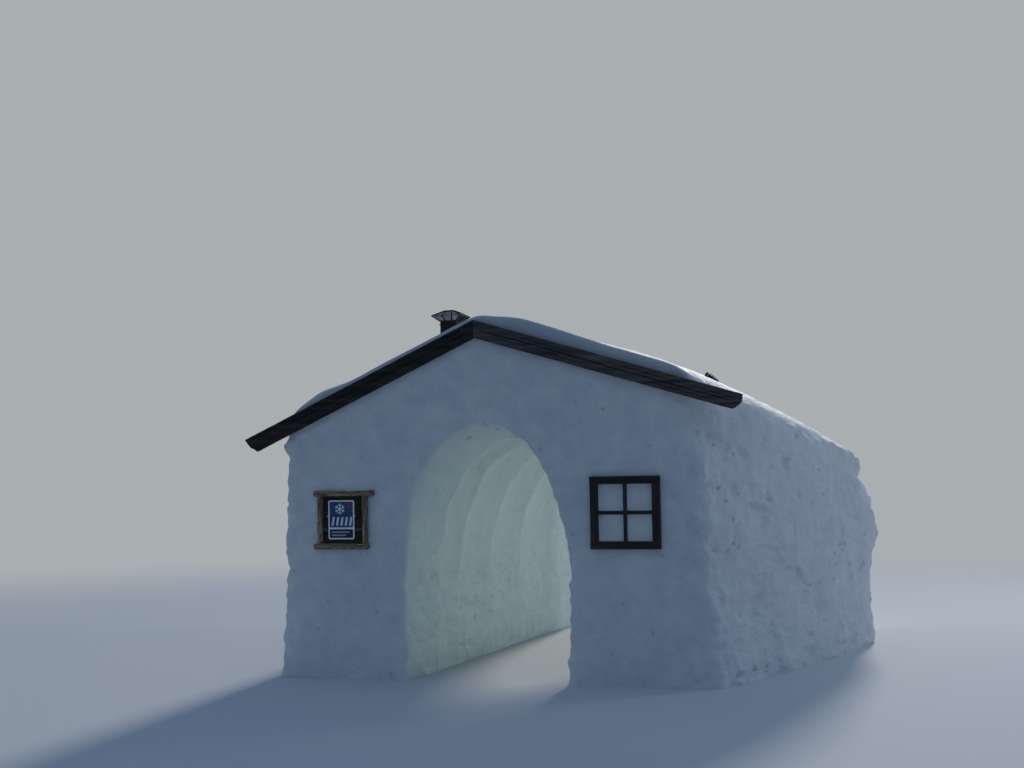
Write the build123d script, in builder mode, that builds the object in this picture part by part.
"""Gabled igloo hut of packed snow with a ribbed through vault, timber bargeboards,
a dummy window frame, a log-framed sign plate and a small metal chimney.

Frame: +X along the front to the right, +Y from the front into the building, +Z up.
The ground is z = 0, the lowest place where the walls meet the snow they stand on. The
survey heights below count from the snow at the doorstep, SHIFT_Z higher.
All lengths are in millimetres.
"""
import os

from build123d import *

os.makedirs("parts", exist_ok=True)

# ---------------------------------------------------------------- driving dimensions
# shift from the survey frame (front face y = 0, x measured along the front, z from the
# doorstep) to the frame of the part, whose origin is the centre of the box on the ground
SHIFT_X = -57.92
SHIFT_Y = -3165.0
SHIFT_Z = 250.0

# ring stations along the vault: front wall, four rings, rear wall
STATIONS = [0.0, 850.0, 1560.0, 2700.0, 3950.0, 5350.0, 6400.0]
CUT_LEFT = -1000.0    # vertical joints between walls and vault
CUT_RIGHT = 250.0
RIDGE_X = -420.0

# outline of the snow top and sides at each station:
# (left base x, left mid x, left eave x, left eave z, left slope z at x = -1600,
#  ridge z, right slope z at x = 100, 500, 1050 and 1700,
#  right eave x, right eave z, right mid x, right base x)
OUTLINE = [
    (-2780, -2740, -2700, 2700, 3215, 3735, 3685, 3550, 3345, 3140, 2000, 3020, 2080, 2180),
    (-2900, -2840, -2760, 2710, 3250, 3820, 3680, 3525, 3362, 3135, 2270, 2860, 2330, 2430),
    (-2980, -2920, -2810, 2700, 3270, 3840, 3670, 3525, 3368, 3125, 2460, 2755, 2560, 2660),
    (-3090, -3020, -2880, 2660, 3250, 3830, 3662, 3542, 3366, 3092, 2700, 2585, 2850, 2930),
    (-3200, -3120, -2950, 2600, 3190, 3780, 3640, 3520, 3305, 2985, 2920, 2405, 3130, 3200),
    (-3290, -3220, -3020, 2500, 3070, 3660, 3540, 3395, 3160, 2840, 3080, 2210, 3360, 3410),
    (-3265, -3170, -2970, 2330, 2890, 3470, 3350, 3200, 2965, 2655, 2960, 2040, 3290, 3340),
]
MID_Z = 1200.0

# the walls and vault end at two sloping planes that meet under the ridge
BED_RIDGE_Z = 3620.0    # height of the line where they meet, at the front
BED_FALL = 0.06         # fall of that line towards the back
BED_SLOPE_LEFT = 0.44
BED_SLOPE_RIGHT = 0.36

# inside lines of the vault, from the left foot over the crown to the right foot: at
# the front face, where it splays, midway in each ring, at the ribs and at the rear face
VAULT_FACE = [
    (-1215, -400), (-1225, 350), (-1240, 730), (-1210, 1170), (-1180, 1550),
    (-1130, 1900), (-950, 2180), (-770, 2370), (-590, 2500), (-370, 2575),
    (-130, 2500), (125, 2310), (270, 2070), (430, 1730), (560, 1380),
    (635, 1010), (660, 620), (620, -400),
]
VAULT_BAY = [
    (-1215, -400), (-1225, 350), (-1240, 730), (-1215, 1170), (-1165, 1480),
    (-1080, 1760), (-950, 2020), (-790, 2220), (-600, 2350), (-370, 2410),
    (-130, 2395), (100, 2260), (270, 2030), (420, 1730), (545, 1400),
    (625, 1010), (655, 620), (620, -400),
]
VAULT_RIB = [
    (-1200, -400), (-1205, 350), (-1210, 730), (-1175, 1130), (-1110, 1430),
    (-1010, 1700), (-880, 1940), (-740, 2110), (-580, 2235), (-360, 2330),
    (-140, 2315), (70, 2190), (215, 1980), (360, 1700), (485, 1380),
    (580, 1010), (625, 620), (600, -400),
]
VAULT_REAR = [
    (-1140, -400), (-1140, 350), (-1145, 730), (-1140, 1130), (-1100, 1430),
    (-1010, 1700), (-880, 1940), (-740, 2110), (-580, 2235), (-360, 2330),
    (-140, 2315), (70, 2190), (215, 1980), (360, 1700), (485, 1380),
    (580, 1010), (625, 620), (600, -400),
]
FOOT = -350.0    # the outline starts below the ground and is cut level at it

BOARD_THICK = 55.0
BOARD_LEFT = [
    (-3197, 2429), (-422, 3673), (-422, 3477), (-3047, 2297), (-3080, 2319),
    (-3120, 2333), (-3158, 2375),
]
BOARD_RIGHT = [
    (-418, 3673), (2500, 2773), (2489, 2691), (2455, 2661), (2417, 2634),
    (2386, 2622), (-418, 3477),
]

WIN_X0, WIN_X1, WIN_Z0, WIN_Z1 = 857.0, 1611.0, 1183.0, 1950.0
WIN_STILE, WIN_RAIL, WIN_BAR, WIN_DEEP = 86.0, 84.0, 40.0, 60.0

SIGN_X0, SIGN_X1, SIGN_Z0, SIGN_Z1 = -2343.0, -1622.0, 1186.0, 1838.0
SIGN_LOW_X1 = -1688.0     # the bottom log ends short of the top one
SIGN_LEFT_IN, SIGN_RIGHT_IN = 40.0, 76.0    # side logs in from the ends of the top log
SIGN_LOG, SIGN_DEEP = 64.0, 70.0
PLATE_X0, PLATE_X1, PLATE_Z0, PLATE_Z1 = -2172.0, -1857.0, 1297.0, 1731.0
PLATE_THICK, BACK_THICK = 8.0, 28.0

STACK_X, STACK_Y, STACK_SIDE, STACK_TOP = -1136.0, 1200.0, 202.0, 3800.0
COWL_OUT, COWL_FLAT, COWL_TOP = 366.0, 115.0, 3930.0
HOOD_X, HOOD_Y, HOOD_R, HOOD_RISE = 1845.0, 1800.0, 70.0, 52.0


# ---------------------------------------------------------------- helpers
def section(y):
    """Plane across the building at distance y behind the front, local x = X, y = Z."""
    return Plane((SHIFT_X, SHIFT_Y + y, SHIFT_Z), x_dir=(1, 0, 0), z_dir=(0, -1, 0))


def across(x):
    """Vertical plane along the building at x."""
    return Plane((SHIFT_X + x, 0, 0), x_dir=(0, 1, 0), z_dir=(1, 0, 0))


def bed_z(x, y):
    """Height of the bed of the roof snow."""
    fall = BED_SLOPE_LEFT * (RIDGE_X - x) if x < RIDGE_X else BED_SLOPE_RIGHT * (x - RIDGE_X)
    return BED_RIDGE_Z - BED_FALL * y - fall


def left_top(row):
    """Snow surface of the left slope, from the eave to the ridge."""
    return [(row[2], row[3]), (-1600, row[4]), (RIDGE_X, row[5])]


def right_top(row):
    """Snow surface of the right slope, from the ridge to the eave."""
    return [
        (RIDGE_X, row[5]), (100, row[6]), (500, row[7]), (1050, row[8]), (1700, row[9]),
        (row[10], row[11]),
    ]


def body_outline(row, y):
    """Outline of the walls and vault mass below the roof snow."""
    top = [(x, bed_z(x, y)) for x in (row[2], RIDGE_X, row[10])]
    k = (MID_Z - FOOT) / MID_Z
    foot_left = (row[1] + (row[0] - row[1]) * k, FOOT)
    foot_right = (row[12] + (row[13] - row[12]) * k, FOOT)
    return [foot_left, (row[1], MID_Z)] + top + [(row[12], MID_Z), foot_right]


# ---------------------------------------------------------------- snow walls and vault
NAMES = [
    ("front_wall_left", "front_gable", "front_wall_right"),
    ("left_wall_ring_1", "vault_ring_1", "right_wall_ring_1"),
    ("left_wall_ring_2", "vault_ring_2", "right_wall_ring_2"),
    ("left_wall_ring_3", "vault_ring_3", "right_wall_ring_3"),
    ("left_wall_ring_4", "vault_ring_4", "right_wall_ring_4"),
    ("rear_wall_left", "rear_gable", "rear_wall_right"),
]

for k, (left_name, top_name, right_name) in enumerate(NAMES):
    y0, y1 = STATIONS[k], STATIONS[k + 1]
    line0 = VAULT_FACE if k == 0 else VAULT_RIB
    line1 = VAULT_REAR if k == 5 else VAULT_RIB

    # the whole slice of the building between two stations, with its vault cut out
    with BuildPart() as slice_mass:
        with BuildSketch(section(y0)):
            with BuildLine():
                Polyline(*body_outline(OUTLINE[k], y0), close=True)
            make_face()
        with BuildSketch(section(y1)):
            with BuildLine():
                Polyline(*body_outline(OUTLINE[k + 1], y1), close=True)
            make_face()
        loft(ruled=True)
        with BuildSketch(section(y0)):
            with BuildLine():
                Polyline(*line0, close=True)
            make_face()
        with BuildSketch(section((y0 + y1) / 2)):
            with BuildLine():
                Polyline(*VAULT_BAY, close=True)
            make_face()
        with BuildSketch(section(y1)):
            with BuildLine():
                Polyline(*line1, close=True)
            make_face()
        loft(ruled=True, mode=Mode.SUBTRACT)
        split(bisect_by=Plane.XY, keep=Keep.TOP)

    with BuildPart() as wall_left:
        add(slice_mass.part)
        split(bisect_by=across(CUT_LEFT), keep=Keep.BOTTOM)
    wall_left.part.label = left_name
    export_step(wall_left.part, f"parts/{left_name}.step")

    with BuildPart() as vault_ring:
        add(slice_mass.part)
        split(bisect_by=across(CUT_LEFT), keep=Keep.TOP)
        split(bisect_by=across(CUT_RIGHT), keep=Keep.BOTTOM)
    vault_ring.part.label = top_name
    export_step(vault_ring.part, f"parts/{top_name}.step")

    with BuildPart() as wall_right:
        add(slice_mass.part)
        split(bisect_by=across(CUT_RIGHT), keep=Keep.TOP)
    wall_right.part.label = right_name
    export_step(wall_right.part, f"parts/{right_name}.step")

# ---------------------------------------------------------------- snow on the roof
with BuildPart() as roof_snow_left:
    for y, row in zip(STATIONS, OUTLINE):
        top = left_top(row)
        bed = [(top[-1][0], bed_z(top[-1][0], y)), (top[0][0], bed_z(top[0][0], y))]
        with BuildSketch(section(y)):
            with BuildLine():
                Polyline(*(top + bed), close=True)
            make_face()
    loft(ruled=True)
roof_snow_left.part.label = "roof_snow_left"
export_step(roof_snow_left.part, "parts/roof_snow_left.step")

with BuildPart() as roof_snow_right:
    for y, row in zip(STATIONS, OUTLINE):
        top = right_top(row)
        bed = [(top[-1][0], bed_z(top[-1][0], y)), (top[0][0], bed_z(top[0][0], y))]
        with BuildSketch(section(y)):
            with BuildLine():
                Polyline(*(top + bed), close=True)
            make_face()
    loft(ruled=True)
roof_snow_right.part.label = "roof_snow_right"
export_step(roof_snow_right.part, "parts/roof_snow_right.step")

# ---------------------------------------------------------------- bargeboards
with BuildPart() as bargeboard_left:
    with BuildSketch(section(0)):
        with BuildLine():
            Polyline(*BOARD_LEFT, close=True)
        make_face()
    extrude(amount=BOARD_THICK)
bargeboard_left.part.label = "bargeboard_left"
export_step(bargeboard_left.part, "parts/bargeboard_left.step")

with BuildPart() as bargeboard_right:
    with BuildSketch(section(0)):
        with BuildLine():
            Polyline(*BOARD_RIGHT, close=True)
        make_face()
    extrude(amount=BOARD_THICK)
bargeboard_right.part.label = "bargeboard_right"
export_step(bargeboard_right.part, "parts/bargeboard_right.step")

# ---------------------------------------------------------------- window frame
WIN_XM, WIN_ZM = (WIN_X0 + WIN_X1) / 2, (WIN_Z0 + WIN_Z1) / 2

with BuildPart() as window_top_rail:
    with BuildSketch(section(0)):
        with Locations((WIN_XM, WIN_Z1 - WIN_RAIL / 2)):
            Rectangle(WIN_X1 - WIN_X0, WIN_RAIL)
    extrude(amount=WIN_DEEP)
    chamfer(window_top_rail.faces().sort_by(Axis.Y)[0].edges(), length=5)
window_top_rail.part.label = "window_top_rail"
export_step(window_top_rail.part, "parts/window_top_rail.step")

with BuildPart() as window_bottom_rail:
    with BuildSketch(section(0)):
        with Locations((WIN_XM, WIN_Z0 + WIN_RAIL / 2)):
            Rectangle(WIN_X1 - WIN_X0, WIN_RAIL)
    extrude(amount=WIN_DEEP)
    chamfer(window_bottom_rail.faces().sort_by(Axis.Y)[0].edges(), length=5)
window_bottom_rail.part.label = "window_bottom_rail"
export_step(window_bottom_rail.part, "parts/window_bottom_rail.step")

STILE_LEN = WIN_Z1 - WIN_Z0 - 2 * WIN_RAIL

with BuildPart() as window_left_stile:
    with BuildSketch(section(0)):
        with Locations((WIN_X0 + WIN_STILE / 2, WIN_ZM)):
            Rectangle(WIN_STILE, STILE_LEN)
    extrude(amount=WIN_DEEP)
    chamfer(window_left_stile.faces().sort_by(Axis.Y)[0].edges(), length=5)
window_left_stile.part.label = "window_left_stile"
export_step(window_left_stile.part, "parts/window_left_stile.step")

with BuildPart() as window_right_stile:
    with BuildSketch(section(0)):
        with Locations((WIN_X1 - WIN_STILE / 2, WIN_ZM)):
            Rectangle(WIN_STILE, STILE_LEN)
    extrude(amount=WIN_DEEP)
    chamfer(window_right_stile.faces().sort_by(Axis.Y)[0].edges(), length=5)
window_right_stile.part.label = "window_right_stile"
export_step(window_right_stile.part, "parts/window_right_stile.step")

with BuildPart() as window_upright_bar:
    with BuildSketch(section(0)):
        with Locations((WIN_XM, WIN_ZM)):
            Rectangle(WIN_BAR, STILE_LEN)
    extrude(amount=WIN_DEEP - 15)
    chamfer(window_upright_bar.faces().sort_by(Axis.Y)[0].edges(), length=4)
window_upright_bar.part.label = "window_upright_bar"
export_step(window_upright_bar.part, "parts/window_upright_bar.step")

CROSS_HALF = (WIN_X1 - WIN_X0 - 2 * WIN_STILE - WIN_BAR) / 2

with BuildPart() as window_cross_bar:
    with BuildSketch(section(0)):
        with Locations(
            (WIN_XM - WIN_BAR / 2 - CROSS_HALF / 2, WIN_ZM),
            (WIN_XM + WIN_BAR / 2 + CROSS_HALF / 2, WIN_ZM),
        ):
            Rectangle(CROSS_HALF, WIN_BAR)
    extrude(amount=WIN_DEEP - 15)
window_cross_bar.part.label = "window_cross_bar"
export_step(window_cross_bar.part, "parts/window_cross_bar.step")

# ---------------------------------------------------------------- sign
SIGN_XM, SIGN_ZM = (SIGN_X0 + SIGN_X1) / 2, (SIGN_Z0 + SIGN_Z1) / 2

with BuildPart() as sign_top_log:
    with BuildSketch(section(0)):
        with Locations((SIGN_XM, SIGN_Z1 - SIGN_LOG / 2)):
            Rectangle(SIGN_X1 - SIGN_X0, SIGN_LOG)
    extrude(amount=SIGN_DEEP)
    fillet(
        sign_top_log.edges().filter_by(Axis.X).group_by(Axis.Y)[0], radius=SIGN_LOG * 0.4
    )
sign_top_log.part.label = "sign_top_log"
export_step(sign_top_log.part, "parts/sign_top_log.step")

with BuildPart() as sign_bottom_log:
    with BuildSketch(section(0)):
        with Locations(((SIGN_X0 + SIGN_LOW_X1) / 2, SIGN_Z0 + SIGN_LOG / 2)):
            Rectangle(SIGN_LOW_X1 - SIGN_X0, SIGN_LOG)
    extrude(amount=SIGN_DEEP)
    fillet(
        sign_bottom_log.edges().filter_by(Axis.X).group_by(Axis.Y)[0],
        radius=SIGN_LOG * 0.4,
    )
sign_bottom_log.part.label = "sign_bottom_log"
export_step(sign_bottom_log.part, "parts/sign_bottom_log.step")

SIGN_SIDE = SIGN_Z1 - SIGN_Z0 - 2 * SIGN_LOG

with BuildPart() as sign_left_log:
    with BuildSketch(section(0)):
        with Locations((SIGN_X0 + SIGN_LEFT_IN + SIGN_LOG / 2, SIGN_ZM)):
            Rectangle(SIGN_LOG, SIGN_SIDE)
    extrude(amount=SIGN_DEEP - 6)
    fillet(
        sign_left_log.edges().filter_by(Axis.Z).group_by(Axis.Y)[0],
        radius=SIGN_LOG * 0.4,
    )
sign_left_log.part.label = "sign_left_log"
export_step(sign_left_log.part, "parts/sign_left_log.step")

with BuildPart() as sign_right_log:
    with BuildSketch(section(0)):
        with Locations((SIGN_X1 - SIGN_RIGHT_IN - SIGN_LOG / 2, SIGN_ZM)):
            Rectangle(SIGN_LOG, SIGN_SIDE)
    extrude(amount=SIGN_DEEP - 6)
    fillet(
        sign_right_log.edges().filter_by(Axis.Z).group_by(Axis.Y)[0],
        radius=SIGN_LOG * 0.4,
    )
sign_right_log.part.label = "sign_right_log"
export_step(sign_right_log.part, "parts/sign_right_log.step")

BACK_X0 = SIGN_X0 + SIGN_LEFT_IN + SIGN_LOG
BACK_X1 = SIGN_X1 - SIGN_RIGHT_IN - SIGN_LOG
BOARD_COUNT = 4
BOARD_H = (SIGN_SIDE - (BOARD_COUNT - 1) * 3) / BOARD_COUNT

with BuildPart() as sign_back_boards:
    with BuildSketch(section(0)):
        with Locations(
            *[
                ((BACK_X0 + BACK_X1) / 2, SIGN_Z0 + SIGN_LOG + BOARD_H / 2 + i * (BOARD_H + 3))
                for i in range(BOARD_COUNT)
            ]
        ):
            Rectangle(BACK_X1 - BACK_X0, BOARD_H)
    extrude(amount=BACK_THICK)
sign_back_boards.part.label = "sign_back_boards"
export_step(sign_back_boards.part, "parts/sign_back_boards.step")

PLATE_XM, PLATE_ZM = (PLATE_X0 + PLATE_X1) / 2, (PLATE_Z0 + PLATE_Z1) / 2

with BuildPart() as sign_plate:
    with BuildSketch(section(-BACK_THICK)):
        with Locations((PLATE_XM, PLATE_ZM)):
            RectangleRounded(PLATE_X1 - PLATE_X0, PLATE_Z1 - PLATE_Z0, radius=24)
    extrude(amount=PLATE_THICK)
sign_plate.part.label = "sign_plate"
export_step(sign_plate.part, "parts/sign_plate.step")

TIE_W, TIE_H = 18.0, 30.0

with BuildPart() as sign_ties:
    with BuildSketch(section(-BACK_THICK)):
        with Locations(
            (PLATE_X0 - TIE_W / 2 - 2, PLATE_ZM + 40),
            (PLATE_X1 + TIE_W / 2 + 2, PLATE_ZM + 40),
        ):
            Rectangle(TIE_W, TIE_H)
    extrude(amount=PLATE_THICK)
    fillet(sign_ties.faces().sort_by(Axis.Y)[0:2].edges(), radius=3)
sign_ties.part.label = "sign_ties"
export_step(sign_ties.part, "parts/sign_ties.step")

# ---------------------------------------------------------------- chimney
STACK_CX, STACK_CY = SHIFT_X + STACK_X, SHIFT_Y + STACK_Y


def left_slope_z(x, y):
    """Height of the left snow slope at x, y, between the outline stations."""
    for a in range(len(STATIONS) - 1):
        if STATIONS[a] <= y <= STATIONS[a + 1]:
            t = (y - STATIONS[a]) / (STATIONS[a + 1] - STATIONS[a])
            zs = OUTLINE[a][4] * (1 - t) + OUTLINE[a + 1][4] * t
            zr = OUTLINE[a][5] * (1 - t) + OUTLINE[a + 1][5] * t
            return zs + (zr - zs) * (x + 1600) / (RIDGE_X + 1600)


# the foot of the stack is cut to the slope it stands on
FOOT_L = left_slope_z(STACK_X - STACK_SIDE / 2, STACK_Y) + 14
FOOT_R = left_slope_z(STACK_X + STACK_SIDE / 2, STACK_Y) + 14

with BuildPart() as chimney_stack:
    with BuildSketch(section(STACK_Y - STACK_SIDE / 2)):
        with BuildLine():
            Polyline(
                (STACK_X - STACK_SIDE / 2, FOOT_L),
                (STACK_X + STACK_SIDE / 2, FOOT_R),
                (STACK_X + STACK_SIDE / 2, STACK_TOP),
                (STACK_X - STACK_SIDE / 2, STACK_TOP),
                close=True,
            )
        make_face()
    extrude(amount=-STACK_SIDE)
chimney_stack.part.label = "chimney_stack"
export_step(chimney_stack.part, "parts/chimney_stack.step")

with BuildPart() as chimney_cowl:
    with BuildSketch(Plane((STACK_CX, STACK_CY, SHIFT_Z + STACK_TOP))):
        Rectangle(STACK_SIDE, STACK_SIDE)
    with BuildSketch(Plane((STACK_CX, STACK_CY, SHIFT_Z + STACK_TOP + 60))):
        Rectangle(COWL_OUT, COWL_OUT)
    loft(ruled=True)
    with BuildSketch(Plane((STACK_CX, STACK_CY, SHIFT_Z + STACK_TOP + 60))):
        Rectangle(COWL_OUT, COWL_OUT)
    with BuildSketch(Plane((STACK_CX, STACK_CY, SHIFT_Z + COWL_TOP))):
        Rectangle(COWL_FLAT, COWL_FLAT)
    loft(ruled=True)
chimney_cowl.part.label = "chimney_cowl"
export_step(chimney_cowl.part, "parts/chimney_cowl.step")

# ---------------------------------------------------------------- small vent hood
def right_slope_z(x, y):
    """Height of the right snow slope at x, y, between the outline stations."""
    for a in range(len(STATIONS) - 1):
        if STATIONS[a] <= y <= STATIONS[a + 1]:
            t = (y - STATIONS[a]) / (STATIONS[a + 1] - STATIONS[a])
            lines = [right_top(OUTLINE[a]), right_top(OUTLINE[a + 1])]
            line = [
                (p[0] * (1 - t) + q[0] * t, p[1] * (1 - t) + q[1] * t) for p, q in zip(*lines)
            ]
            for (xa, za), (xb, zb) in zip(line, line[1:]):
                if xa <= x <= xb:
                    return za + (zb - za) * (x - xa) / (xb - xa)


HOOD_LOW_L = right_slope_z(HOOD_X - HOOD_R, HOOD_Y) + 12
HOOD_LOW_R = right_slope_z(HOOD_X + HOOD_R, HOOD_Y) + 12
HOOD_CROWN_Z = (HOOD_LOW_L + HOOD_LOW_R) / 2 + HOOD_RISE

with BuildPart() as roof_vent_hood:
    with BuildSketch(section(HOOD_Y - 62)):
        with BuildLine():
            hood_arc = ThreePointArc(
                (HOOD_X - HOOD_R, HOOD_LOW_L),
                (HOOD_X - HOOD_R * 0.1, HOOD_CROWN_Z),
                (HOOD_X + HOOD_R, HOOD_LOW_R),
            )
            Line(hood_arc @ 1, hood_arc @ 0)
        make_face()
    extrude(amount=-124)
roof_vent_hood.part.label = "roof_vent_hood"
export_step(roof_vent_hood.part, "parts/roof_vent_hood.step")
